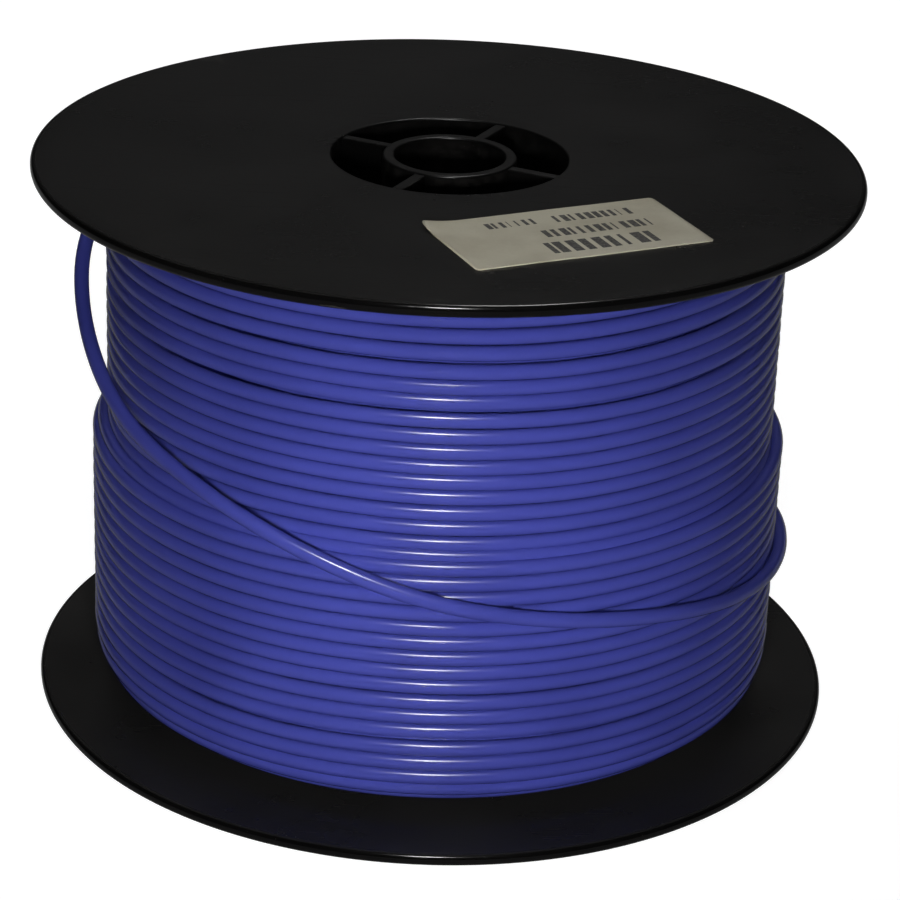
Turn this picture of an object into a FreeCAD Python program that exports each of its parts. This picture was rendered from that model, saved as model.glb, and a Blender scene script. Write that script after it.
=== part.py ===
import FreeCAD, Part
import math
import os

os.makedirs("parts", exist_ok=True)

# Wire spool, about 165 mm across: two moulded flanges plugged into a barrel tube, a paper label,
# and hook-up wire wound between the flanges with its last turn lying loose.
# Millimetres, +Z up along the bore, origin on the axis at the underside of the bottom flange.

# Whole spool
flange_radius = 82.5
overall_height = 113.7
flange_thickness = 2.4
rim_round = 1.1
edge_round = 0.5

# Barrel tube
barrel_outer_radius = 28.6
barrel_wall = 2.4

# Hub of each flange: a collar inside the barrel, four ribs and an arbor boss
collar_wall = 2.6
collar_depth = 14.0
collar_lead = 0.6
collar_clearance = 0.1
bore_radius = 11.0
boss_wall = 2.4
rib_thickness = 2.4
rib_count = 4
rib_angle = 25.5
rib_recess = 0.3
wall_overlap = 0.4

# Label on the top flange
label_length = 48.4
label_width = 25.4
label_thickness = 0.15
label_corner = 1.0
label_x = 22.3
label_y = -43.4
label_turn = 24.8

# Wire: 3 mm outside its insulation, with a core of stranded copper
wire_radius = 1.5
strand_radius = 0.18
strand_gap = 0.02
strand_length = 1.0

# Winding: the outline of its outside, heights measured from the bottom flange's inner face
winding_radius = 68.0
partial_layer = 1.8
foot_radius = 61.0
foot_height = 20.0
foot_bulge = 3.2
partial_layer_top = 56.6
partial_layer_slope = 3.0

# Inner end of the wire, pushed through a hole in the barrel
inner_hole_clearance = 0.2
inner_hole_above_collar = 4.0
inner_hole_angle = 205.0
inner_end_reach = 6.0

# Loose turn: angle from the front towards the right, distance from the axis, height,
# and how much of the shorter run beside each point its bend takes up
loose_turn_points = [
    (-133.0, 67.6, 109.4),
    (-114.0, 72.2, 102.4),
    (-95.0, 74.4, 92.0),
    (-76.5, 73.4, 81.8),
    (-58.0, 72.8, 72.2),
    (-40.0, 72.8, 66.6),
    (-21.0, 72.8, 59.1),
    (-2.0, 72.8, 51.2),
    (17.0, 72.8, 46.5),
    (36.0, 72.8, 42.8),
    (54.0, 72.8, 38.9),
    (72.0, 72.7, 36.4),
    (91.0, 72.7, 35.0),
    (110.0, 72.8, 33.2),
    (128.0, 72.9, 32.4),
    (147.0, 72.8, 30.6),
    (165.0, 72.9, 29.6),
    (183.0, 73.0, 27.4),
    (200.0, 73.1, 26.2),
]
bend_share = 0.45

# Sizes that follow from the ones above
barrel_inner_radius = barrel_outer_radius - barrel_wall
collar_outer_radius = barrel_inner_radius - collar_clearance
hub_opening_radius = collar_outer_radius - collar_wall
boss_radius = bore_radius + boss_wall
hub_depth = flange_thickness + collar_depth
inner_face_low = flange_thickness
inner_face_high = overall_height - flange_thickness
inner_hole_height = hub_depth + inner_hole_above_collar
inner_hole_radius = wire_radius + inner_hole_clearance
inner_end_tip = barrel_inner_radius - inner_end_reach

z_axis = FreeCAD.Vector(0, 0, 1)
origin = FreeCAD.Vector(0, 0, 0)


def at(radius, height):
    """Point of an outline that is turned about the axis."""
    return FreeCAD.Vector(radius, 0, height)


def polar(radius, angle, height):
    """Point at an angle from +X."""
    turn = math.radians(angle)
    return FreeCAD.Vector(radius * math.cos(turn), radius * math.sin(turn), height)


def line(start, end):
    return Part.LineSegment(start, end).toShape()


def round_corner(start, corner, end):
    """Quarter arc from start to end that bulges towards the corner."""
    centre = start + end - corner
    middle = centre + (corner - centre) * math.sqrt(0.5)
    return Part.Arc(start, middle, end).toShape()


def turned(edges):
    """Solid made by turning a closed outline about the axis."""
    return Part.Face(Part.Wire(edges)).revolve(origin, z_axis, 360)


def tube(outer_radius, inner_radius, low, high):
    outer = Part.makeCylinder(outer_radius, high - low, FreeCAD.Vector(0, 0, low))
    inner = Part.makeCylinder(inner_radius, high - low, FreeCAD.Vector(0, 0, low))
    return outer.cut(inner)


def flange_disc():
    """Disc with a rounded rim and the collar that plugs into the barrel."""
    rim = flange_radius
    top = flange_thickness
    opening = hub_opening_radius
    collar = collar_outer_radius
    edges = [
        line(at(opening + edge_round, 0), at(rim - rim_round, 0)),
        round_corner(at(rim - rim_round, 0), at(rim, 0), at(rim, rim_round)),
        line(at(rim, rim_round), at(rim, top - rim_round)),
        round_corner(at(rim, top - rim_round), at(rim, top), at(rim - rim_round, top)),
        line(at(rim - rim_round, top), at(collar, top)),
        line(at(collar, top), at(collar, hub_depth - collar_lead)),
        line(at(collar, hub_depth - collar_lead), at(collar - collar_lead, hub_depth)),
        line(at(collar - collar_lead, hub_depth), at(opening, hub_depth)),
        line(at(opening, hub_depth), at(opening, edge_round)),
        round_corner(at(opening, edge_round), at(opening, 0), at(opening + edge_round, 0)),
    ]
    return turned(edges)


def arbor_boss():
    """Short tube in the middle of a flange, with both mouth edges of its outer end rounded."""
    inner = bore_radius
    outer = boss_radius
    edges = [
        line(at(inner + edge_round, 0), at(outer - edge_round, 0)),
        round_corner(at(outer - edge_round, 0), at(outer, 0), at(outer, edge_round)),
        line(at(outer, edge_round), at(outer, hub_depth)),
        line(at(outer, hub_depth), at(inner, hub_depth)),
        line(at(inner, hub_depth), at(inner, edge_round)),
        round_corner(at(inner, edge_round), at(inner, 0), at(inner + edge_round, 0)),
    ]
    return turned(edges)


def hub_rib(angle):
    """Rib from the boss to the collar, let into both walls a little."""
    reach = hub_opening_radius - boss_radius + 2 * wall_overlap
    start = FreeCAD.Vector(boss_radius - wall_overlap, -rib_thickness / 2, rib_recess)
    rib = Part.makeBox(reach, rib_thickness, hub_depth - rib_recess, start)
    rib.rotate(origin, z_axis, angle)
    return rib


def flange():
    """One flange moulding, lying with its outer face at height 0."""
    ribs = [hub_rib(rib_angle + index * 360 / rib_count) for index in range(rib_count)]
    return flange_disc().fuse([arbor_boss()] + ribs).removeSplitter()


def top_flange():
    """The same moulding turned over."""
    shape = flange()
    shape.rotate(origin, FreeCAD.Vector(1, 0, 0), 180)
    shape.translate(FreeCAD.Vector(0, 0, overall_height))
    return shape


def inner_end_rod(radius, start_radius, end_radius):
    """Round bar along the line of the hole in the barrel."""
    start = polar(start_radius, inner_hole_angle, inner_hole_height)
    direction = polar(1, inner_hole_angle, 0)
    return Part.makeCylinder(radius, end_radius - start_radius, start, direction)


def barrel():
    body = tube(barrel_outer_radius, barrel_inner_radius, inner_face_low, inner_face_high)
    hole_start = barrel_inner_radius - barrel_wall
    hole_end = barrel_outer_radius + barrel_wall
    return body.cut(inner_end_rod(inner_hole_radius, hole_start, hole_end))


def label():
    """Thin rounded rectangle on the top flange's outer face."""
    low = FreeCAD.Vector(-label_length / 2, -label_width / 2, overall_height)
    sheet = Part.makeBox(label_length, label_width, label_thickness, low)
    corners = [edge for edge in sheet.Edges if edge.BoundBox.ZLength > label_thickness / 2]
    sheet = sheet.makeFillet(label_corner, corners)
    sheet.rotate(origin, z_axis, label_turn)
    sheet.translate(FreeCAD.Vector(label_x, label_y, 0))
    return sheet


def winding_outline():
    """Whole winding: rounded foot, a part-finished outer layer, then the full layer below it."""
    foot_top = inner_face_low + foot_height
    lower = winding_radius + partial_layer
    step_low = inner_face_low + partial_layer_top
    step_high = step_low + partial_layer_slope
    inner = barrel_outer_radius
    foot_middle_radius = (foot_radius + lower) / 2 + foot_bulge
    foot_middle_height = inner_face_low + foot_height / 2 - foot_bulge
    foot_start = at(foot_radius, inner_face_low)
    foot_end = at(lower, foot_top)
    edges = [
        line(at(inner, inner_face_low), foot_start),
        Part.Arc(foot_start, at(foot_middle_radius, foot_middle_height), foot_end).toShape(),
        line(foot_end, at(lower, step_low)),
        line(at(lower, step_low), at(winding_radius, step_high)),
        line(at(winding_radius, step_high), at(winding_radius, inner_face_high)),
        line(at(winding_radius, inner_face_high), at(inner, inner_face_high)),
        line(at(inner, inner_face_high), at(inner, inner_face_low)),
    ]
    return turned(edges)


def loose_turn_route():
    """Points of the loose turn; angle 0 is the front, -Y."""
    return [polar(radius, angle - 90, height) for angle, radius, height in loose_turn_points]


def rounded_path(points):
    """Straight runs joined by tangent arcs, and the arcs' radii."""
    edges = []
    radii = []
    run_start = points[0]
    for before, corner, after in zip(points, points[1:], points[2:]):
        arriving = (corner - before).normalize()
        leaving = (after - corner).normalize()
        half_turn = arriving.getAngle(leaving) / 2
        reach = bend_share * min((corner - before).Length, (after - corner).Length)
        radius = reach / math.tan(half_turn)
        arc_start = corner - arriving * reach
        arc_end = corner + leaving * reach
        inward = (leaving - arriving).normalize()
        arc_middle = corner + inward * (radius / math.cos(half_turn) - radius)
        edges.append(line(run_start, arc_start))
        edges.append(Part.Arc(arc_start, arc_middle, arc_end).toShape())
        radii.append(radius)
        run_start = arc_end
    edges.append(line(run_start, points[-1]))
    return Part.Wire(edges), radii


def loose_turn():
    """Last turn of the wire, let into the winding's outer layer where it starts."""
    points = loose_turn_route()
    path, radii = rounded_path(points)
    section = Part.Wire(Part.makeCircle(wire_radius, points[0], points[1] - points[0]))
    wire = path.makePipeShell([section], True, False)
    expected = math.pi * wire_radius ** 2 * path.Length
    print("loose turn length", round(path.Length, 1), "mm")
    print("bend radii", [round(radius, 1) for radius in radii])
    print("volume", round(wire.Volume, 1), "section times length", round(expected, 1))
    return wire


def strand_bundle(end, direction):
    """Cut ends of the copper strands: one in the middle and two rings round it."""
    pitch = 2 * strand_radius + strand_gap
    outward = direction.normalize()
    aside = outward.cross(z_axis).normalize()
    upward = outward.cross(aside)
    strands = [Part.makeCylinder(strand_radius, strand_length, end, outward)]
    for ring in (1, 2):
        count = 6 * ring
        ring_radius = pitch / (2 * math.sin(math.pi / count))
        for index in range(count):
            turn = 2 * math.pi * index / count
            offset = aside * math.cos(turn) + upward * math.sin(turn)
            place = end + offset * ring_radius
            strands.append(Part.makeCylinder(strand_radius, strand_length, place, outward))
    return Part.makeCompound(strands)


def outer_end_strands():
    points = loose_turn_route()
    return strand_bundle(points[-1], points[-1] - points[-2])


def inner_end_strands():
    tip = polar(inner_end_tip, inner_hole_angle, inner_hole_height)
    return strand_bundle(tip, polar(-1, inner_hole_angle, 0))


loose_wire = loose_turn()
winding = winding_outline()
inner_end = inner_end_rod(wire_radius, inner_end_tip, barrel_outer_radius + barrel_wall)

parts = {
    "top_flange": top_flange(),
    "bottom_flange": flange(),
    "barrel": barrel(),
    "label": label(),
    "wound_wire": winding.cut(loose_wire),
    "loose_turn": loose_wire,
    "outer_end_strands": outer_end_strands(),
    "inner_end": inner_end.cut(winding),
    "inner_end_strands": inner_end_strands(),
}

for name, shape in parts.items():
    assert shape.isValid(), name
    print(name, "solids", len(shape.Solids), "volume", round(shape.Volume, 1))
    shape.exportStep("parts/" + name + ".step")
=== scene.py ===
import bmesh
import bpy
import math
import random
from mathutils import Matrix, Vector


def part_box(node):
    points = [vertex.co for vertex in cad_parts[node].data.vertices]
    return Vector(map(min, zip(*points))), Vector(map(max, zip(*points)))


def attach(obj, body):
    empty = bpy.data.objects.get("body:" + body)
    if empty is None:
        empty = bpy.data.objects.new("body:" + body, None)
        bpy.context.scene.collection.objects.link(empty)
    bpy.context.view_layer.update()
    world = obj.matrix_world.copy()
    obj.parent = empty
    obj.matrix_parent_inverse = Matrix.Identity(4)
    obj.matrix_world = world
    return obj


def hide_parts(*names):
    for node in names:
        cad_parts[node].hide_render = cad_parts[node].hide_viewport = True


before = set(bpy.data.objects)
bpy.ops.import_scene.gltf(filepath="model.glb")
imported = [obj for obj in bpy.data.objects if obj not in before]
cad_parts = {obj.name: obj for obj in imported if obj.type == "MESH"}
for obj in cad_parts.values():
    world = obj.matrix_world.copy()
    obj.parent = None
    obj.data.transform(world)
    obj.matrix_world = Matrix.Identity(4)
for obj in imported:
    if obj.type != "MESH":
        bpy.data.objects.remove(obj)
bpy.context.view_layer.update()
body = "root"

# Where the parts are, from the frame, in metres
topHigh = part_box("top_flange")[1]
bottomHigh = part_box("bottom_flange")[1]
barrelLow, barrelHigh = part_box("barrel")
flangeRadius = topHigh[0]
spoolHeight = topHigh[2]
traverseLow = barrelLow[2]
traverseHigh = barrelHigh[2]
flangeThickness = traverseLow
barrelRadius = barrelHigh[0]
hubDepth = bottomHigh[2]
mm = 0.001


# Angle 0 is the front, -Y, and angles grow towards +X
def polar(radius, angle, height):
    turn = math.radians(angle - 90)
    return Vector((radius * math.cos(turn), radius * math.sin(turn), height))


def finished(piece, slot, *nodes):
    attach(piece, body)
    if nodes:
        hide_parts(*nodes)
    return piece


# ---- camera

cameraView = {
    "elevation": 23.33,
    "distanceInRadii": 7.497,
    "pan": 0.2143,
    "tilt": -0.6044,
    "roll": 2.14,
    "lens": 120.12,
    "sensor": 36.0,
}


def makeCamera(view):
    target = Vector((0, 0, spoolHeight / 2))
    elevation = math.radians(view["elevation"])
    distance = view["distanceInRadii"] * flangeRadius
    place = target + distance * Vector((0, -math.cos(elevation), math.sin(elevation)))
    forward = (target - place).normalized()
    right = Vector((1, 0, 0))
    up = right.cross(forward)
    forward += right * math.tan(math.radians(view["pan"])) + up * math.tan(math.radians(view["tilt"]))
    forward.normalize()
    right = forward.cross(up).normalized()
    up = right.cross(forward)
    roll = math.radians(view["roll"])
    rolledRight = right * math.cos(roll) + up * math.sin(roll)
    rolledUp = up * math.cos(roll) - right * math.sin(roll)
    turn = Matrix((rolledRight, rolledUp, -forward)).transposed()
    data = bpy.data.cameras.new("camera")
    data.sensor_width = view["sensor"]
    data.lens = view["lens"]
    camera = bpy.data.objects.new("camera", data)
    camera.matrix_world = Matrix.Translation(place) @ turn.to_4x4()
    bpy.context.scene.collection.objects.link(camera)
    bpy.context.scene.camera = camera


makeCamera(cameraView)
print("camera placed")


# ---- shader building

def newMaterial(name):
    material = bpy.data.materials.new(name)
    material.use_nodes = True
    return material, material.node_tree, material.node_tree.nodes["Principled BSDF"]


# An input takes a plain value, or a link from another node
def setInput(tree, socket, value):
    if isinstance(value, bpy.types.NodeSocket):
        tree.links.new(value, socket)
    else:
        socket.default_value = value


# Values go to the node's settings, or else to the inputs of that name
def addNode(tree, kind, **values):
    node = tree.nodes.new(kind)
    for name, value in values.items():
        if hasattr(node, name):
            setattr(node, name, value)
        else:
            setInput(tree, node.inputs[name.replace("_", " ")], value)
    return node


def calculate(tree, operation, *values, clamp=False):
    node = addNode(tree, "ShaderNodeMath", operation=operation, use_clamp=clamp)
    for socket, value in zip(node.inputs, values):
        setInput(tree, socket, value)
    return node.outputs[0]


# The mix node has sockets for every kind of value: these are the ones for colours
mixSockets = {"factor": 0, "first": 6, "second": 7, "result": 2}


def mixColour(tree, factor, first, second):
    node = addNode(tree, "ShaderNodeMix", data_type="RGBA")
    for name, value in (("factor", factor), ("first", first), ("second", second)):
        setInput(tree, node.inputs[mixSockets[name]], value)
    return node.outputs[mixSockets["result"]]


def rampBetween(tree, value, low, high, lowOut=0.0, highOut=1.0):
    ends = {"From_Min": low, "From_Max": high, "To_Min": lowOut, "To_Max": highOut}
    node = addNode(tree, "ShaderNodeMapRange", interpolation_type="SMOOTHSTEP", Value=value, **ends)
    return node.outputs[0]


def objectPlace(tree):
    return addNode(tree, "ShaderNodeTexCoord").outputs["Object"]


def addNoise(tree, place, **values):
    return addNode(tree, "ShaderNodeTexNoise", Vector=place, **values).outputs["Fac"]


def groupWith(name, inputs, outputs):
    tree = bpy.data.node_groups.new(name, "ShaderNodeTree")
    for label, value in inputs.items():
        socket = tree.interface.new_socket(name=label, in_out="INPUT", socket_type="NodeSocketFloat")
        socket.default_value = value
    for label in outputs:
        tree.interface.new_socket(name=label, in_out="OUTPUT", socket_type="NodeSocketFloat")
    return tree, tree.nodes.new("NodeGroupInput").outputs, tree.nodes.new("NodeGroupOutput").inputs


handling = {
    "blotchDetail": 4.0,
    "blotchRoughness": 0.6,
    "blotchRange": (0.35, 0.7),
    "bendScale": 60.0,
    "bendReach": 0.006,
    "scratchLays": ((0.4, 26.0), (2.1, 34.0)),
    "scratchTilt": 0.3,
    "scratchLean": 0.2,
    "scratchFineness": 0.2,
    "scratchRange": (0.66, 0.74),
    "speckRange": (0.16, 0.05),
    "patchScale": 120.0,
    "patchRange": (0.5, 0.72),
}


# Handling marks: soft blotches, hairline scratches and specks of dust, all as masks
def makeHandlingGroup(look):
    scales = {"Blotch Scale": 40.0, "Scratch Scale": 300.0, "Dust Scale": 900.0}
    tree, given, result = groupWith("handlingMarks", scales, ("Blotches", "Scratches", "Dust"))
    place = objectPlace(tree)
    detail = {"Detail": look["blotchDetail"], "Roughness": look["blotchRoughness"]}
    blotch = addNoise(tree, place, Scale=given["Blotch Scale"], **detail)
    tree.links.new(rampBetween(tree, blotch, *look["blotchRange"]), result["Blotches"])
    bend = addNode(tree, "ShaderNodeTexNoise", Vector=place, Scale=look["bendScale"], Detail=1.0)
    shift = addNode(tree, "ShaderNodeVectorMath", operation="SCALE", Scale=look["bendReach"])
    tree.links.new(bend.outputs["Color"], shift.inputs[0])
    bent = addNode(tree, "ShaderNodeVectorMath", operation="ADD")
    tree.links.new(place, bent.inputs[0])
    tree.links.new(shift.outputs[0], bent.inputs[1])
    fineness = calculate(tree, "MULTIPLY", given["Scratch Scale"], look["scratchFineness"])
    lines = []
    for turn, stretch in look["scratchLays"]:
        lay = addNode(tree, "ShaderNodeMapping", Vector=bent.outputs[0], Scale=(1.0, stretch, 1.0))
        lay.inputs["Rotation"].default_value = (look["scratchTilt"] * turn, look["scratchLean"], turn)
        streak = addNoise(tree, lay.outputs[0], Scale=fineness, Detail=2.0, Roughness=0.5)
        lines.append(rampBetween(tree, streak, *look["scratchRange"]))
    tree.links.new(calculate(tree, "MAXIMUM", *lines), result["Scratches"])
    speck = addNode(tree, "ShaderNodeTexVoronoi", feature="F1", Vector=place, Scale=given["Dust Scale"])
    small = rampBetween(tree, speck.outputs["Distance"], *look["speckRange"])
    patch = addNoise(tree, place, Scale=look["patchScale"], Detail=2.0)
    patched = rampBetween(tree, patch, *look["patchRange"])
    tree.links.new(calculate(tree, "MULTIPLY", small, patched), result["Dust"])
    return tree


wearing = {"edgeWidth": 0.06, "roughRange": (0.35, 0.65)}


# Edge wear: a mask that is 1 on convex edges, broken up by noise
def makeEdgeGroup(look):
    tree, given, result = groupWith("edgeWear", {"Start": 0.55, "Break Up": 400.0}, ("Wear",))
    shape = addNode(tree, "ShaderNodeNewGeometry").outputs["Pointiness"]
    past = calculate(tree, "SUBTRACT", shape, given["Start"])
    edge = calculate(tree, "DIVIDE", past, look["edgeWidth"], clamp=True)
    rough = addNoise(tree, objectPlace(tree), Scale=given["Break Up"], Detail=3.0)
    broken = rampBetween(tree, rough, *look["roughRange"])
    tree.links.new(calculate(tree, "MULTIPLY", edge, broken), result["Wear"])
    return tree


handlingMarks = makeHandlingGroup(handling)
edgeWear = makeEdgeGroup(wearing)


def addBump(tree, shader, height, strength, distance):
    bump = addNode(tree, "ShaderNodeBump", Strength=strength, Distance=distance, Height=height)
    tree.links.new(bump.outputs["Normal"], shader.inputs["Normal"])


flangeFinish = {
    "colour": (0.0022, 0.0021, 0.0021, 1.0),
    "greyed": (0.0036, 0.0034, 0.0033, 1.0),
    # lighter colour for upward faces: partly dust lying on them, partly a painted sheen for light falling on
    # the tops
    "dustAndSheen": (0.0180, 0.0174, 0.0170, 1.0),
    "dustAndSheenSlope": (0.75, 0.98),
    "dustAndSheenLeast": 0.7,
    "dustColour": (0.10, 0.095, 0.088, 1.0),
    "dustShare": 0.35,
    "wearShare": 0.3,
    "roughness": 0.27,
    "rimRoughness": 0.11,
    "rimBand": (1.3 * mm, 0.7 * mm),
    "roughening": {"Blotches": 0.05, "Scratches": 0.08, "Dust": 0.3},
    "specular": 0.2,
    "grainScale": 900.0,
    "scratchDepth": 0.4,
    "bump": 0.10,
    "bumpDistance": 0.00008,
    "marks": {"Blotch_Scale": 26.0, "Scratch_Scale": 260.0, "Dust_Scale": 1100.0},
    "wear": {"Start": 0.53, "Break_Up": 500.0},
}


def flangePlastic(finish):
    material, tree, shader = newMaterial("flangePlastic")
    place = objectPlace(tree)
    marks = addNode(tree, "ShaderNodeGroup", node_tree=handlingMarks, **finish["marks"]).outputs
    worn = addNode(tree, "ShaderNodeGroup", node_tree=edgeWear, **finish["wear"]).outputs
    colour = mixColour(tree, marks["Blotches"], finish["colour"], finish["greyed"])
    # Upward faces are lightened by the normal's Z: partly dust lying on them, partly a painted sheen
    # standing in for light on the tops
    normal = addNode(tree, "ShaderNodeNewGeometry").outputs["Normal"]
    upward = addNode(tree, "ShaderNodeSeparateXYZ", Vector=normal).outputs["Z"]
    least = finish["dustAndSheenLeast"]
    dustAndSheenPatches = calculate(tree, "MULTIPLY_ADD", marks["Blotches"], 1 - least, least)
    dustAndSheen = calculate(tree, "MULTIPLY", rampBetween(tree, upward, *finish["dustAndSheenSlope"]), dustAndSheenPatches)
    colour = mixColour(tree, dustAndSheen, colour, finish["dustAndSheen"])
    for mask, share in ((marks["Dust"], finish["dustShare"]), (worn["Wear"], finish["wearShare"])):
        colour = mixColour(tree, calculate(tree, "MULTIPLY", mask, share), colour, finish["dustColour"])
    tree.links.new(colour, shader.inputs["Base Color"])

    flat = addNode(tree, "ShaderNodeVectorMath", operation="MULTIPLY", Vector=place)
    flat.inputs[1].default_value = (1.0, 1.0, 0.0)
    reach = addNode(tree, "ShaderNodeVectorMath", operation="LENGTH", Vector=flat.outputs[0])
    rimLow, rimHigh = (flangeRadius - inset for inset in finish["rimBand"])
    ends = (finish["roughness"], finish["rimRoughness"])
    rough = rampBetween(tree, reach.outputs["Value"], rimLow, rimHigh, *ends)
    for mask, share in finish["roughening"].items():
        more = calculate(tree, "MULTIPLY", marks[mask], share)
        rough = calculate(tree, "ADD", rough, more, clamp=True)
    tree.links.new(rough, shader.inputs["Roughness"])
    shader.inputs["Specular IOR Level"].default_value = finish["specular"]

    grain = addNoise(tree, place, Scale=finish["grainScale"], Detail=3.0)
    depth = calculate(tree, "MULTIPLY", marks["Scratches"], finish["scratchDepth"])
    height = calculate(tree, "SUBTRACT", grain, depth)
    addBump(tree, shader, height, finish["bump"], finish["bumpDistance"])
    return material


barrelFinish = {
    "colour": (0.016, 0.0155, 0.0155, 1.0),
    "pale": (0.028, 0.027, 0.026, 1.0),
    "roughness": (0.44, 0.58),
    "blotchScale": 50.0,
    "drawScale": 1500.0,
    "drawStretch": 0.02,
    "drawRange": (0.3, 0.7),
    "bump": 0.2,
    "bumpDistance": 0.0001,
}


# Extruded tube: fine lines along the axis
def barrelPlastic(finish):
    material, tree, shader = newMaterial("barrelPlastic")
    stretch = (1.0, 1.0, finish["drawStretch"])
    lay = addNode(tree, "ShaderNodeMapping", Vector=objectPlace(tree), Scale=stretch)
    drawn = addNoise(tree, lay.outputs[0], Scale=finish["drawScale"], Detail=3.0)
    marks = addNode(tree, "ShaderNodeGroup", node_tree=handlingMarks, Blotch_Scale=finish["blotchScale"])
    colour = mixColour(tree, marks.outputs["Blotches"], finish["colour"], finish["pale"])
    tree.links.new(colour, shader.inputs["Base Color"])
    rough = rampBetween(tree, drawn, *finish["drawRange"], *finish["roughness"])
    tree.links.new(rough, shader.inputs["Roughness"])
    addBump(tree, shader, drawn, finish["bump"], finish["bumpDistance"])
    return material


wireFinish = {
    "colour": (0.048, 0.057, 0.300, 1.0),
    "deep": (0.036, 0.042, 0.235, 1.0),
    "roughness": (0.21, 0.26),
    "specular": 0.42,
    "toneScale": 30.0,
    "toneRange": (0.4, 0.9),
}


# Smooth insulation, with a soft change of tone and gloss
def wireInsulation(finish):
    material, tree, shader = newMaterial("wireInsulation")
    tone = addNoise(tree, objectPlace(tree), Scale=finish["toneScale"], Detail=1.0)
    deepened = rampBetween(tree, tone, *finish["toneRange"])
    tree.links.new(mixColour(tree, deepened, finish["colour"], finish["deep"]), shader.inputs["Base Color"])
    rough = rampBetween(tree, tone, *finish["toneRange"], *finish["roughness"])
    tree.links.new(rough, shader.inputs["Roughness"])
    shader.inputs["Specular IOR Level"].default_value = finish["specular"]
    return material


copperFinish = {
    "colour": (0.80, 0.40, 0.24, 1.0),
    "tarnish": (0.42, 0.17, 0.09, 1.0),
    "tarnishRange": (0.45, 0.7),
    "roughRange": (0.3, 0.7),
    "roughness": (0.28, 0.48),
    "stainScale": 1800.0,
    "bump": 0.15,
    "bumpDistance": 0.00005,
}


def bareCopper(finish):
    material, tree, shader = newMaterial("bareCopper")
    shader.inputs["Metallic"].default_value = 1.0
    stain = addNoise(tree, objectPlace(tree), Scale=finish["stainScale"], Detail=3.0)
    tarnished = rampBetween(tree, stain, *finish["tarnishRange"])
    colour = mixColour(tree, tarnished, finish["colour"], finish["tarnish"])
    tree.links.new(colour, shader.inputs["Base Color"])
    rough = rampBetween(tree, stain, *finish["roughRange"], *finish["roughness"])
    tree.links.new(rough, shader.inputs["Roughness"])
    addBump(tree, shader, stain, finish["bump"], finish["bumpDistance"])
    return material


labelFinish = {
    "paper": (0.58, 0.545, 0.42, 1.0),
    "yellowed": (0.465, 0.425, 0.31, 1.0),
    "ink": (0.018, 0.017, 0.018, 1.0),
    "stainScale": 70.0,
    "stainRange": (0.35, 0.75),
    "fibreScale": 1600.0,
    "fibreRoughness": 0.7,
    "speckRange": (0.55, 0.75),
    "speckShare": 0.25,
    "inkRange": (0.25, 0.6),
    "inkShares": (0.80, 0.97),
    "barShare": 0.85,
    "barSeedStep": 37.0,
    "roughRange": (0.3, 0.7),
    "roughness": (0.54, 0.74),
    "bump": 0.25,
    "bumpDistance": 0.00006,
}

# Bars that stand in for print: place and half length along the label, then place and half height
# across it, and blocks per length
labelBars = [
    (0.580, 0.225, 0.240, 0.110, 18.0),
    (0.630, 0.240, 0.525, 0.072, 27.0),
    (0.685, 0.170, 0.790, 0.066, 29.0),
    (0.340, 0.110, 0.800, 0.058, 31.0),
]


# Rows of plain blocks of uneven width, which spell nothing
def labelInk(tree, finish, bars):
    split = addNode(tree, "ShaderNodeSeparateXYZ")
    tree.links.new(addNode(tree, "ShaderNodeUVMap", uv_map="label").outputs[0], split.inputs[0])
    along, across = split.outputs["X"], split.outputs["Y"]
    ink = 0.0
    for index, (middle, halfLength, height, halfHeight, density) in enumerate(bars):
        inLength = calculate(tree, "COMPARE", along, middle, halfLength)
        inHeight = calculate(tree, "COMPARE", across, height, halfHeight)
        run = calculate(tree, "MULTIPLY", along, density)
        seed = calculate(tree, "ADD", calculate(tree, "FLOOR", run), finish["barSeedStep"] * index)
        pick = addNode(tree, "ShaderNodeTexWhiteNoise", noise_dimensions="1D", W=seed).outputs["Value"]
        share = calculate(tree, "MULTIPLY", calculate(tree, "SQRT", pick), finish["barShare"])
        block = calculate(tree, "LESS_THAN", calculate(tree, "FRACT", run), share)
        inside = calculate(tree, "MULTIPLY", inLength, inHeight)
        ink = calculate(tree, "MAXIMUM", ink, calculate(tree, "MULTIPLY", inside, block))
    return ink


def labelPaper(finish, bars):
    material, tree, shader = newMaterial("labelPaper")
    place = objectPlace(tree)
    texture = {"Scale": finish["fibreScale"], "Detail": 5.0, "Roughness": finish["fibreRoughness"]}
    fibre = addNoise(tree, place, **texture)
    stain = addNoise(tree, place, Scale=finish["stainScale"], Detail=3.0)
    stained = rampBetween(tree, stain, *finish["stainRange"])
    paper = mixColour(tree, stained, finish["paper"], finish["yellowed"])
    specks = rampBetween(tree, fibre, *finish["speckRange"], 0.0, finish["speckShare"])
    speckled = mixColour(tree, specks, paper, finish["yellowed"])
    fade = rampBetween(tree, fibre, *finish["inkRange"], *finish["inkShares"])
    inked = calculate(tree, "MULTIPLY", labelInk(tree, finish, bars), fade)
    tree.links.new(mixColour(tree, inked, speckled, finish["ink"]), shader.inputs["Base Color"])
    rough = rampBetween(tree, fibre, *finish["roughRange"], *finish["roughness"])
    tree.links.new(rough, shader.inputs["Roughness"])
    addBump(tree, shader, fibre, finish["bump"], finish["bumpDistance"])
    return material


materials = {
    "flange_plastic": flangePlastic(flangeFinish),
    "barrel_plastic": barrelPlastic(barrelFinish),
    "wire_insulation": wireInsulation(wireFinish),
    "copper": bareCopper(copperFinish),
    "label_paper": labelPaper(labelFinish, labelBars),
}
print("materials made")


# ---- loose turn of wire

wireDiameter = 3.0 * mm

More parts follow.
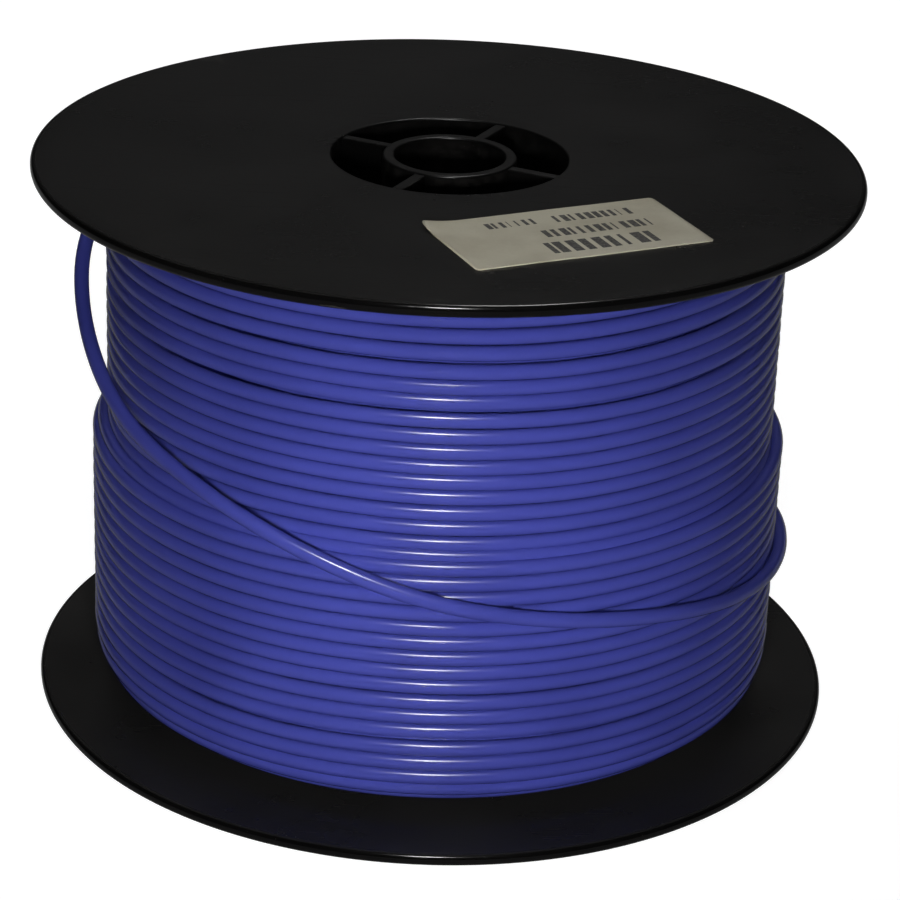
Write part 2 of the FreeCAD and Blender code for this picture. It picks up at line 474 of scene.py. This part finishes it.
looseTurn = {
    "length": 0.430,
    "points": [
        (-133.0, 0.0676, 0.1094),
        (-114.0, 0.0722, 0.1024),
        (-95.0, 0.0744, 0.0920),
        (-76.5, 0.0734, 0.0818),
        (-58.0, 0.0734, 0.0722),
        (-40.0, 0.0736, 0.0666),
        (-21.0, 0.0736, 0.0591),
        (-2.0, 0.0735, 0.0512),
        (17.0, 0.0733, 0.0465),
        (36.0, 0.0731, 0.0428),
        (54.0, 0.0729, 0.0389),
        (72.0, 0.0726, 0.0364),
        (91.0, 0.0724, 0.0350),
        (110.0, 0.0728, 0.0332),
        (128.0, 0.0729, 0.0324),
        (147.0, 0.0730, 0.0306),
        (165.0, 0.0731, 0.0296),
        (183.0, 0.0731, 0.0274),
        (200.0, 0.0731, 0.0262),
    ],
    "sides": 5,
    "steps": 10,
}


def makeLooseTurn(turn):
    points = [polar(radius, angle, height) for angle, radius, height in turn["points"]]
    data = bpy.data.curves.new("looseTurn", "CURVE")
    data.dimensions = "3D"
    data.bevel_depth = wireDiameter / 2
    data.bevel_resolution = turn["sides"]
    data.resolution_u = turn["steps"]
    data.render_resolution_u = turn["steps"]
    data.use_fill_caps = True
    spline = data.splines.new("NURBS")
    spline.points.add(len(points) - 1)
    for knot, point in zip(spline.points, points):
        knot.co = (*point, 1)
    spline.order_u = 3
    spline.use_endpoint_u = True
    piece = bpy.data.objects.new("looseTurn", data)
    bpy.context.scene.collection.objects.link(piece)
    data.materials.append(materials["wire_insulation"])
    return piece, points


looseWire, loosePoints = makeLooseTurn(looseTurn)
finished(looseWire, "wire_insulation", "loose_turn")
print("loose turn laid")


# ---- copper strands at the wire's two ends

strandBundle = {
    "rings": 3,
    "radius": 0.185 * mm,
    "length": 1.0 * mm,
    "unevenness": 0.35 * mm,
    "twist": 0.5,
    "sides": 10,
    "levels": ((-1.0, 1.0), (0.0, 1.0), (0.5, 1.0), (0.93, 1.0), (1.0, 0.7)),
    "sharp": 40.0,
    "outerSeed": 3,
    "innerSeed": 8,
}


def makeStrands(name, end, direction, bundle, seed):
    draws = random.Random(seed)
    outward = direction.normalized()
    aside = outward.cross(Vector((0, 0, 1))).normalized()
    upward = outward.cross(aside)
    mesh = bmesh.new()
    for ring in range(bundle["rings"]):
        count = max(1, 6 * ring)
        away = 0 if ring == 0 else bundle["radius"] / math.sin(math.pi / count)
        for index in range(count):
            base = 2 * math.pi * index / count
            length = bundle["length"] - bundle["unevenness"] * draws.random()
            rings = []
            for share, width in bundle["levels"]:
                turn = base + bundle["twist"] * share
                middle = end + outward * (length * share)
                middle += aside * (away * math.cos(turn)) + upward * (away * math.sin(turn))
                loop = []
                for side in range(bundle["sides"]):
                    around = 2 * math.pi * side / bundle["sides"]
                    offset = aside * math.cos(around) + upward * math.sin(around)
                    loop.append(mesh.verts.new(middle + offset * (bundle["radius"] * width)))
                rings.append(loop)
            for lower, upper in zip(rings, rings[1:]):
                for side in range(bundle["sides"]):
                    after = (side + 1) % bundle["sides"]
                    mesh.faces.new((lower[side], lower[after], upper[after], upper[side]))
            mesh.faces.new(rings[-1])
            mesh.faces.new(list(reversed(rings[0])))
    bmesh.ops.recalc_face_normals(mesh, faces=mesh.faces)
    data = bpy.data.meshes.new(name)
    mesh.to_mesh(data)
    mesh.free()
    data.shade_smooth()
    data.set_sharp_from_angle(angle=math.radians(bundle["sharp"]))
    data.materials.append(materials["copper"])
    piece = bpy.data.objects.new(name, data)
    bpy.context.scene.collection.objects.link(piece)
    return piece


outerTip = loosePoints[-1]
outerDirection = outerTip - loosePoints[-2]
outerSeed = strandBundle["outerSeed"]
outerStrands = makeStrands("outerEndStrands", outerTip, outerDirection, strandBundle, outerSeed)
finished(outerStrands, "copper", "outer_end_strands")

innerLow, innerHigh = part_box("inner_end_strands")
innerTip = (Vector(innerLow) + Vector(innerHigh)) / 2
innerDirection = Vector((-innerTip.x, -innerTip.y, 0)).normalized()
innerFace = innerTip - innerDirection * strandBundle["length"] / 2
innerSeed = strandBundle["innerSeed"]
innerStrands = makeStrands("innerEndStrands", innerFace, innerDirection, strandBundle, innerSeed)
finished(innerStrands, "copper", "inner_end_strands")
print("strands made")


# ---- the winding

winding = {
    "topRadius": 66.5 * mm,
    "partRadius": 69.2 * mm,
    "partTop": 58.0 * mm,
    "stepRise": 0.15 * mm,
    "footHeight": 18.0 * mm,
    "footDrop": 12.0 * mm,
    "footPower": 5.0,
    "footSteps": 10,
    "layerRise": 2.6 * mm,
    "endAngle": -133.0,
    "stillEnds": 14.0 * mm,
    "strayScale": 2.3,
    "strayOut": 0.6,
    "leanFade": 3.0 * mm,
    "gapWidth": 1.2 * mm,
    "gapSpread": (2.0 * mm, 16.0 * mm),
    "sharp": 60.0,
}
windLow = traverseLow + wireDiameter / 2
windHigh = traverseHigh - wireDiameter / 2


def footRadius(height):
    share = max(0.0, (winding["footHeight"] - height) / (winding["footHeight"] - windLow))
    return winding["partRadius"] - winding["footDrop"] * share ** winding["footPower"]


def footLevel(radius):
    share = max(0.0, (winding["partRadius"] - radius) / winding["footDrop"])
    return winding["footHeight"] - (winding["footHeight"] - windLow) * share ** (1 / winding["footPower"])


# Outside layer from the foot up: the part-finished layer, then a step in to the full one
def outsideOutline():
    steps = winding["footSteps"]
    outline = []
    for index in range(steps):
        height = windLow + (winding["footHeight"] - windLow) * index / steps
        outline.append((footRadius(height), height))
    outline.append((winding["partRadius"], winding["footHeight"]))
    outline.append((winding["partRadius"], winding["partTop"] - winding["stepRise"]))
    outline.append((winding["topRadius"], winding["partTop"] + winding["stepRise"]))
    outline.append((winding["topRadius"], windHigh))
    return outline


# Layers from the barrel out, up and down in turn, each stopping short where the foot is rounded
def insideOutline(first, last):
    outline = []
    for layer in range(first, last + 1):
        radius = barrelRadius + wireDiameter / 2 + layer * winding["layerRise"]
        low = max(windLow, footLevel(min(winding["partRadius"], radius + winding["layerRise"])))
        high = windHigh
        if layer == insideLayers:
            high = winding["partTop"] - wireDiameter / 2
        ends = [(radius, low), (radius, high)]
        outline += ends if layer % 2 == 0 else ends[::-1]
    return outline


insideLayers = round((winding["topRadius"] - barrelRadius - wireDiameter / 2) / winding["layerRise"])


# Gaps that the eye catches between turns: height, how much it opens, how it leans, and which side it faces
windingGaps = [
    {"height": 86.0 * mm, "opening": 0.65 * mm, "rise": 4.8 * mm, "facing": 0.0},
    {"height": 97.0 * mm, "opening": 0.60 * mm, "rise": 1.5 * mm, "facing": 10.0},
    {"height": 29.0 * mm, "opening": 0.35 * mm, "rise": -1.5 * mm, "facing": 60.0},
    {"height": 19.8 * mm, "opening": 0.60 * mm, "rise": -2.6 * mm, "facing": 0.0},
]

windInputs = {
    "Pitch": "NodeSocketFloat",
    "Wire Radius": "NodeSocketFloat",
    "Segments": "NodeSocketInt",
    "Sides": "NodeSocketInt",
    "End Angle": "NodeSocketFloat",
    "Sway": "NodeSocketFloat",
    "Sway Scale": "NodeSocketFloat",
    "Jitter": "NodeSocketFloat",
    "Lean": "NodeSocketFloat",
    "Gap Share": "NodeSocketFloat",
    "Seed": "NodeSocketFloat",
    "Finish": "NodeSocketMaterial",
}


def combine(tree, x, y, z):
    return addNode(tree, "ShaderNodeCombineXYZ", X=x, Y=y, Z=z).outputs[0]


# Winds a wire round the Z axis along an outline of radius (X) and height (Z)
def makeWindTree():
    tree = bpy.data.node_groups.new("windAlongOutline", "GeometryNodeTree")
    tree.interface.new_socket(name="Outline", in_out="INPUT", socket_type="NodeSocketGeometry")
    tree.interface.new_socket(name="Wire", in_out="OUTPUT", socket_type="NodeSocketGeometry")
    sockets = {}
    for name, kind in windInputs.items():
        sockets[name] = tree.interface.new_socket(name=name, in_out="INPUT", socket_type=kind).identifier
    given = tree.nodes.new("NodeGroupInput").outputs
    result = tree.nodes.new("NodeGroupOutput").inputs

    def calc(operation, *values):
        return calculate(tree, operation, *values)

    length = addNode(tree, "GeometryNodeCurveLength", Curve=given["Outline"]).outputs[0]
    turns = calc("DIVIDE", length, given["Pitch"])
    count = calc("ADD", calc("FLOOR", calc("MULTIPLY", turns, given["Segments"])), 1.0)
    path = addNode(tree, "GeometryNodeResampleCurve", Curve=given["Outline"], Count=count).outputs[0]

    index = tree.nodes.new("GeometryNodeInputIndex").outputs[0]
    back = calc("DIVIDE", calc("SUBTRACT", calc("SUBTRACT", count, 1.0), index), given["Segments"])
    angle = calc("SUBTRACT", given["End Angle"], calc("MULTIPLY", back, 2 * math.pi))
    place = tree.nodes.new("GeometryNodeInputPosition").outputs[0]
    split = addNode(tree, "ShaderNodeSeparateXYZ", Vector=place)
    radius, height = split.outputs["X"], split.outputs["Z"]
    cosine, sine = calc("COSINE", angle), calc("SINE", angle)

    # neighbouring turns sway together, less and less towards the flanges
    field = addNode(tree, "ShaderNodeTexNoise", noise_dimensions="4D", Detail=1.0)
    outward = (calc("MULTIPLY", cosine, flangeRadius), calc("MULTIPLY", sine, flangeRadius))
    tree.links.new(combine(tree, *outward, height), field.inputs["Vector"])
    tree.links.new(given["Seed"], field.inputs["W"])
    tree.links.new(given["Sway Scale"], field.inputs["Scale"])
    above, below = calc("SUBTRACT", height, windLow), calc("SUBTRACT", windHigh, height)
    free = rampBetween(tree, calc("MINIMUM", above, below), 0.0, winding["stillEnds"])
    reach = calc("MULTIPLY", given["Sway"], free)
    sway = calc("MULTIPLY", calc("SUBTRACT", field.outputs["Fac"], 0.5), reach)

    # and each turn strays a little on its own
    turn = calc("ADD", back, given["Seed"])
    strayNoise = {"noise_dimensions": "1D", "W": turn, "Scale": winding["strayScale"], "Detail": 1.0}
    stray = addNode(tree, "ShaderNodeTexNoise", **strayNoise).outputs["Fac"]
    jitter = calc("MULTIPLY", calc("SUBTRACT", stray, 0.5), given["Jitter"])

    offset = calc("ADD", sway, calc("MULTIPLY", jitter, free))
    for gap in windingGaps:
        facing = math.radians(gap["facing"] - 90)
        turned = calc("COSINE", calc("SUBTRACT", angle, facing))
        line = calc("MULTIPLY_ADD", calc("SUBTRACT", 1.0, turned), gap["rise"], gap["height"])
        over = calc("SUBTRACT", height, line)
        width, half = winding["gapWidth"], gap["opening"] / 2
        parted = rampBetween(tree, over, -width, width, -half, half)
        faded = calc("SUBTRACT", 1.0, rampBetween(tree, calc("ABSOLUTE", over), *winding["gapSpread"]))
        offset = calc("ADD", offset, calc("MULTIPLY", calc("MULTIPLY", parted, faded), given["Gap Share"]))

    # the part-finished layer sits off centre, and each turn rides in and out a little
    edge, fade = winding["partTop"], winding["leanFade"]
    under = rampBetween(tree, height, edge - fade, edge + fade, 1.0, 0.0)
    leaned = calc("MULTIPLY", calc("MULTIPLY", cosine, given["Lean"]), under)
    out = calc("ADD", calc("ADD", radius, leaned), calc("MULTIPLY", jitter, winding["strayOut"]))
    around = (calc("MULTIPLY", out, cosine), calc("MULTIPLY", out, sine))
    spot = combine(tree, *around, calc("ADD", height, offset))

    moved = addNode(tree, "GeometryNodeSetPosition", Geometry=path, Position=spot).outputs[0]
    section = addNode(tree, "GeometryNodeCurvePrimitiveCircle", Resolution=given["Sides"])
    tree.links.new(given["Wire Radius"], section.inputs["Radius"])
    sweep = addNode(tree, "GeometryNodeCurveToMesh", Curve=moved, Profile_Curve=section.outputs[0])
    sweep.inputs["Fill Caps"].default_value = True
    real = addNode(tree, "GeometryNodeRealizeInstances", Geometry=sweep.outputs[0]).outputs[0]
    finish = addNode(tree, "GeometryNodeSetMaterial", Geometry=real, Material=given["Finish"])
    tree.links.new(finish.outputs[0], result[0])
    return tree, sockets


windTree, windSockets = makeWindTree()


def windWire(name, outline, values):
    data = bpy.data.curves.new(name + "Outline", "CURVE")
    data.dimensions = "3D"
    spline = data.splines.new("POLY")
    spline.points.add(len(outline) - 1)
    for point, (radius, height) in zip(spline.points, outline):
        point.co = (radius, 0, height, 1)
    holder = bpy.data.objects.new(name + "Outline", data)
    bpy.context.scene.collection.objects.link(holder)
    modifier = holder.modifiers.new("wind", "NODES")
    modifier.node_group = windTree
    for label, value in values.items():
        modifier[windSockets[label]] = value
    modifier[windSockets["End Angle"]] = math.radians(winding["endAngle"] - 90)
    modifier[windSockets["Wire Radius"]] = wireDiameter / 2
    modifier[windSockets["Finish"]] = materials["wire_insulation"]
    evaluated = holder.evaluated_get(bpy.context.evaluated_depsgraph_get())
    mesh = bpy.data.meshes.new_from_object(evaluated)
    bpy.data.objects.remove(holder)
    mesh.name = name
    mesh.shade_smooth()
    mesh.set_sharp_from_angle(angle=math.radians(winding["sharp"]))
    piece = bpy.data.objects.new(name, mesh)
    bpy.context.scene.collection.objects.link(piece)
    turns = sum(math.dist(a, b) for a, b in zip(outline, outline[1:])) / values["Pitch"]
    middle = sum(radius for radius, height in outline) / len(outline)
    length = turns * 2 * math.pi * middle
    print(name, "turns", round(turns, 1), "faces", len(mesh.polygons), "wire about", round(length, 1), "m")
    finished(piece, "wire_insulation", "wound_wire")


outsideWind = {
    "Pitch": 3.17 * mm,
    "Segments": 144,
    "Sides": 12,
    "Sway": 2.6 * mm,
    "Sway Scale": 9.0,
    "Jitter": 0.35 * mm,
    "Lean": -0.35 * mm,
    "Gap Share": 1.0,
    "Seed": 4.0,
}
insideWind = {
    "Pitch": 3.25 * mm,
    "Segments": 40,
    "Sides": 6,
    "Sway": 0.0,
    "Sway Scale": 9.0,
    "Jitter": 0.2 * mm,
    "Lean": 0.0,
    "Gap Share": 0.0,
    "Seed": 11.0,
}

windWire("woundWireOutside", outsideOutline(), outsideWind)
halfLayers = insideLayers // 2
insideParts = {"woundWireCore": (0, halfLayers), "woundWireMiddle": (halfLayers + 1, insideLayers)}
for name, (first, last) in insideParts.items():
    windWire(name, insideOutline(first, last), {**insideWind, "Seed": insideWind["Seed"] + first})
print("winding wound")


# ---- flanges

flangeShape = {
    "rimRound": 1.1 * mm,
    "edgeRound": 0.5 * mm,
    "openingRadius": 23.5 * mm,
    "collarRadius": 26.1 * mm,
    "boreRadius": 11.0 * mm,
    "bossRadius": 13.4 * mm,
    "ribThickness": 2.4 * mm,
    "ribAngle": 25.5,
    "ribRecess": 0.3 * mm,
    "ribSoften": 0.35 * mm,
    "ribCount": 4,
    "ribOverlap": 0.8 * mm,
    "collarLead": 0.6 * mm,
    "segments": 256,
    "rings": 14,
    "edgeSteps": 5,
    "rimSteps": 8,
    "ribSteps": 4,
    "warp": 0.12 * mm,
    "warpLobes": (2, 3, 5),
    "warpSizes": (0.4, 1.0),
    "sharp": 35.0,
    "bottomSeed": 5,
    "topSeed": 6,
}


def revolved(profile, segments):
    mesh = bmesh.new()
    rings = []
    for radius, height in profile:
        ring = []
        for index in range(segments):
            turn = 2 * math.pi * index / segments
            ring.append(mesh.verts.new((radius * math.cos(turn), radius * math.sin(turn), height)))
        rings.append(ring)
    for ring, following in zip(rings, rings[1:] + rings[:1]):
        for index in range(segments):
            after = (index + 1) % segments
            mesh.faces.new((ring[index], ring[after], following[after], following[index]))
    bmesh.ops.recalc_face_normals(mesh, faces=mesh.faces)
    return mesh


def arcPoints(middle, radius, start, end, steps):
    points = []
    for index in range(steps + 1):
        turn = math.radians(start + (end - start) * index / steps)
        points.append((middle[0] + radius * math.cos(turn), middle[1] + radius * math.sin(turn)))
    return points


def objectFrom(mesh, name):
    data = bpy.data.meshes.new(name)
    mesh.to_mesh(data)
    mesh.free()
    piece = bpy.data.objects.new(name, data)
    bpy.context.scene.collection.objects.link(piece)
    return piece


def flangeDisc(shape):
    rim = flangeRadius
    top = flangeThickness
    edge = shape["edgeRound"]
    turnIn = shape["rimRound"]
    opening = shape["openingRadius"]
    collar = shape["collarRadius"]
    inner = opening + edge
    profile = arcPoints((inner, edge), edge, 180, 270, shape["edgeSteps"])
    span = rim - turnIn - inner
    profile += [(inner + span * step / shape["rings"], 0) for step in range(1, shape["rings"])]
    profile += arcPoints((rim - turnIn, turnIn), turnIn, -90, 0, shape["rimSteps"])
    profile += arcPoints((rim - turnIn, top - turnIn), turnIn, 0, 90, shape["rimSteps"])
    span = rim - turnIn - collar
    profile += [(rim - turnIn - span * step / shape["rings"], top) for step in range(1, shape["rings"])]
    lead = shape["collarLead"]
    profile += [(collar, top), (collar, hubDepth - lead), (collar - lead, hubDepth), (opening, hubDepth)]
    return objectFrom(revolved(profile, shape["segments"]), "flangeDisc")


def arborBoss(shape):
    edge = shape["edgeRound"]
    inner = shape["boreRadius"]
    outer = shape["bossRadius"]
    profile = arcPoints((inner + edge, edge), edge, 180, 270, shape["edgeSteps"])
    profile += arcPoints((outer - edge, edge), edge, 270, 360, shape["edgeSteps"])
    profile += [(outer, hubDepth), (inner, hubDepth)]
    return objectFrom(revolved(profile, shape["segments"] // 2), "arborBoss")


# Rib with a softened top edge, drawn as a section and pushed out along the radius
def hubRib(shape, angle):
    half = shape["ribThickness"] / 2
    soft = shape["ribSoften"]
    low = shape["ribRecess"]
    section = arcPoints((-half + soft, low + soft), soft, 180, 270, shape["ribSteps"])
    section += arcPoints((half - soft, low + soft), soft, 270, 360, shape["ribSteps"])
    section += [(half, hubDepth), (-half, hubDepth)]
    mesh = bmesh.new()
    ends = []
    overlap = shape["ribOverlap"]
    for distance in (shape["bossRadius"] - overlap, shape["openingRadius"] + overlap):
        ends.append([mesh.verts.new((distance, across, height)) for across, height in section])
    mesh.faces.new(ends[0])
    mesh.faces.new(ends[1])
    for index in range(len(section)):
        after = (index + 1) % len(section)
        mesh.faces.new((ends[0][index], ends[0][after], ends[1][after], ends[1][index]))
    bmesh.ops.rotate(mesh, verts=mesh.verts, matrix=Matrix.Rotation(math.radians(angle), 3, "Z"))
    bmesh.ops.recalc_face_normals(mesh, faces=mesh.faces)
    return objectFrom(mesh, "hubRib")


def makeFlange(name, shape, upsideDown, seed):
    disc = flangeDisc(shape)
    others = [arborBoss(shape)]
    for index in range(shape["ribCount"]):
        others.append(hubRib(shape, shape["ribAngle"] + 360 * index / shape["ribCount"]))
    for other in others:
        union = disc.modifiers.new("union", "BOOLEAN")
        union.operation = "UNION"
        union.solver = "EXACT"
        union.object = other
    evaluated = disc.evaluated_get(bpy.context.evaluated_depsgraph_get())
    data = bpy.data.meshes.new_from_object(evaluated)
    data.name = name
    for spare in [disc] + others:
        bpy.data.objects.remove(spare)
    draws = random.Random(seed)
    phases = []
    for lobes in shape["warpLobes"]:
        phases.append((lobes, draws.uniform(0, 2 * math.pi), draws.uniform(*shape["warpSizes"])))
    for vertex in data.vertices:
        x, y, z = vertex.co
        share = max(0.0, (math.hypot(x, y) - shape["collarRadius"]) / (flangeRadius - shape["collarRadius"]))
        turn = math.atan2(y, x)
        wave = sum(size * math.sin(lobes * turn + phase) for lobes, phase, size in phases)
        vertex.co.z = z + shape["warp"] * share ** 2 * (1 + wave / len(phases))
    if upsideDown:
        data.transform(Matrix.Translation((0, 0, spoolHeight)) @ Matrix.Rotation(math.pi, 4, "X"))
    data.shade_smooth()
    data.set_sharp_from_angle(angle=math.radians(shape["sharp"]))
    data.materials.clear()
    data.materials.append(materials["flange_plastic"])
    piece = bpy.data.objects.new(name, data)
    bpy.context.scene.collection.objects.link(piece)
    print(name, "faces", len(data.polygons))
    return piece


bottomFlange = makeFlange("bottomFlangeMoulding", flangeShape, False, flangeShape["bottomSeed"])
finished(bottomFlange, "flange_plastic", "bottom_flange")
topFlange = makeFlange("topFlangeMoulding", flangeShape, True, flangeShape["topSeed"])
finished(topFlange, "flange_plastic", "top_flange")
print("flanges moulded")


# ---- label

labelShape = {
    "length": 48.4 * mm,
    "width": 25.4 * mm,
    "thickness": 0.12 * mm,
    "lift": 0.02 * mm,
    "corner": 1.0 * mm,
    "centre": (22.3 * mm, -43.4 * mm),
    "turn": 24.8,
    "columns": 74,
    "rows": 42,
    "curlHeight": 0.9 * mm,
    "curlReach": 8.0 * mm,
    "ripple": 0.05 * mm,
    "rippleAlong": 4.1 * mm,
    "rippleAcross": 5.3 * mm,
    "ripplePhase": 1.0,
}


def makeLabel(shape):
    halfLength = shape["length"] / 2
    halfWidth = shape["width"] / 2
    corner = shape["corner"]
    mesh = bmesh.new()
    uvLayer = mesh.loops.layers.uv.new("label")
    grid = []
    where = {}
    for column in range(shape["columns"] + 1):
        line = []
        for row in range(shape["rows"] + 1):
            x = -halfLength + shape["length"] * column / shape["columns"]
            y = -halfWidth + shape["width"] * row / shape["rows"]
            overX = abs(x) - (halfLength - corner)
            overY = abs(y) - (halfWidth - corner)
            if overX > 0 and overY > 0:
                reach = max(overX, overY) / math.hypot(overX, overY)
                x = math.copysign(halfLength - corner + overX * reach, x)
                y = math.copysign(halfWidth - corner + overY * reach, y)
            toCorner = math.hypot(x + halfLength, y - halfWidth)
            curl = max(0.0, 1 - toCorner / shape["curlReach"]) ** 2
            wave = math.sin(x / shape["rippleAlong"] + shape["ripplePhase"])
            wave *= math.sin(y / shape["rippleAcross"])
            z = shape["lift"] + shape["curlHeight"] * curl + shape["ripple"] * (1 + wave) / 2
            vertex = mesh.verts.new((x, y, z))
            where[vertex] = (x / shape["length"] + 0.5, y / shape["width"] + 0.5)
            line.append(vertex)
        grid.append(line)
    for left, right in zip(grid, grid[1:]):
        for row in range(shape["rows"]):
            face = mesh.faces.new((left[row], right[row], right[row + 1], left[row + 1]))
            for loop in face.loops:
                loop[uvLayer].uv = where[loop.vert]
    turned = Matrix.Rotation(math.radians(shape["turn"]), 4, "Z")
    mesh.transform(Matrix.Translation((*shape["centre"], spoolHeight)) @ turned)
    piece = objectFrom(mesh, "labelSticker")
    piece.data.materials.append(materials["label_paper"])
    piece.data.shade_smooth()
    wall = piece.modifiers.new("thickness", "SOLIDIFY")
    wall.thickness = shape["thickness"]
    wall.offset = 1.0
    return piece


finished(makeLabel(labelShape), "label_paper", "label")
print("label stuck on")


# ---- parts that keep their CAD shape

for node, slot in (("barrel", "barrel_plastic"), ("inner_end", "wire_insulation")):
    cadPiece = bpy.data.objects[node]
    cadPiece.data.materials.clear()
    cadPiece.data.materials.append(materials[slot])


# ---- floor and light

studio = {
    "floorSize": 14.0,
    "floorColour": (0.35, 0.35, 0.35, 1.0),
    "floorBounce": (0.10, 0.10, 0.10, 1.0),
    "floorGlow": 0.88,
    "floorMirrored": 0.16,
    "floorRoughness": 0.9,
    "floorSpecular": 0.1,
    "skySeen": (0.95, 0.95, 0.95, 1.0),
    "ambient": (0.035, 0.035, 0.035, 1.0),
    "sky": 0.012,
    "gleam": 0.055,
    "gleamAngle": -177.0,
    "gleamElevation": 18.0,
    "gleamSpread": 13.0,
    "lights": [
        {"name": "key", "angle": 0.4, "elevation": 16.0, "distance": 0.42, "size": 0.045, "power": 0.13,
         "beam": 52.0, "aim": (-0.01, 0.0, 0.03), "lights": "surfaces"},
        {"name": "gleam", "angle": 0.8, "elevation": 52.0, "distance": 1.2, "size": 0.15, "power": 9.0,
         "beam": 180.0, "aim": (0.0, 0.0, 0.057), "lights": "reflections"},
        {"name": "backLeft", "angle": -152.0, "elevation": 30.0, "distance": 1.6, "size": 0.6, "power": 6.5,
         "beam": 180.0, "aim": (0.0, 0.0, 0.057), "lights": "surfaces"},
        {"name": "backRight", "angle": 160.0, "elevation": 30.0, "distance": 1.6, "size": 0.6, "power": 6.5,
         "beam": 180.0, "aim": (0.0, 0.0, 0.057), "lights": "surfaces"},
        {"name": "backGleam", "angle": 168.0, "elevation": 62.0, "distance": 1.5, "size": 0.25, "power": 5.0,
         "beam": 180.0, "aim": (0.0, 0.0, 0.057), "lights": "reflections"},
    ],
}


# The floor is white to the camera, but dark in the light that it throws back
def makeFloor(settings):
    mesh = bmesh.new()
    bmesh.ops.create_grid(mesh, x_segments=1, y_segments=1, size=settings["floorSize"] / 2)
    floor = objectFrom(mesh, "floor")
    material, tree, shader = newMaterial("floorPaper")
    rays = addNode(tree, "ShaderNodeLightPath").outputs
    seen = rays["Is Camera Ray"]
    colour = mixColour(tree, seen, settings["floorBounce"], settings["floorColour"])
    tree.links.new(colour, shader.inputs["Base Color"])
    shader.inputs["Roughness"].default_value = settings["floorRoughness"]
    shader.inputs["Specular IOR Level"].default_value = settings["floorSpecular"]
    shader.inputs["Emission Color"].default_value = (1.0, 1.0, 1.0, 1.0)
    mirrored = calculate(tree, "MULTIPLY", rays["Is Glossy Ray"], settings["floorMirrored"])
    glow = calculate(tree, "MULTIPLY_ADD", seen, settings["floorGlow"], mirrored)
    tree.links.new(glow, shader.inputs["Emission Strength"])
    floor.data.materials.append(material)


# A light acts on surfaces or in reflections, never both, so that each can be set by itself
def makeLight(settings):
    data = bpy.data.lights.new(settings["name"], "AREA")
    data.shape = "SQUARE"
    data.size = settings["size"]
    data.energy = settings["power"]
    data.spread = math.radians(settings["beam"])
    lamp = bpy.data.objects.new(settings["name"], data)
    rise = math.radians(settings["elevation"])
    distance = settings["distance"]
    away = polar(distance * math.cos(rise), settings["angle"], distance * math.sin(rise))
    lamp.location = Vector((0, 0, spoolHeight / 2)) + away
    lamp.rotation_mode = "QUATERNION"
    lamp.rotation_quaternion = (Vector(settings["aim"]) - lamp.location).to_track_quat("-Z", "Y")
    lamp.visible_camera = False
    lamp.visible_glossy = settings["lights"] == "reflections"
    lamp.visible_diffuse = settings["lights"] == "surfaces"
    bpy.context.scene.collection.objects.link(lamp)


# Dark room with a soft glow behind the spool, white where the camera looks past it
def makeSky(settings):
    world = bpy.data.worlds.new("sky")
    bpy.context.scene.world = world
    world.use_nodes = True
    tree = world.node_tree
    rise = math.radians(settings["gleamElevation"])
    toward = polar(math.cos(rise), settings["gleamAngle"], math.sin(rise))
    incoming = addNode(tree, "ShaderNodeNewGeometry").outputs["Incoming"]
    facing = addNode(tree, "ShaderNodeVectorMath", operation="DOT_PRODUCT", Vector=incoming)
    facing.inputs[1].default_value = -toward
    edge = math.cos(math.radians(settings["gleamSpread"]))
    level = rampBetween(tree, facing.outputs["Value"], edge, 1.0, settings["sky"], settings["gleam"])
    rays = addNode(tree, "ShaderNodeLightPath").outputs
    soft = mixColour(tree, rays["Is Diffuse Ray"], level, settings["ambient"])
    shade = mixColour(tree, rays["Is Camera Ray"], soft, settings["skySeen"])
    tree.links.new(shade, tree.nodes["Background"].inputs["Color"])


makeFloor(studio)
makeSky(studio)
for lightSettings in studio["lights"]:
    makeLight(lightSettings)
bpy.context.scene.view_settings.view_transform = "Standard"
print("studio set")
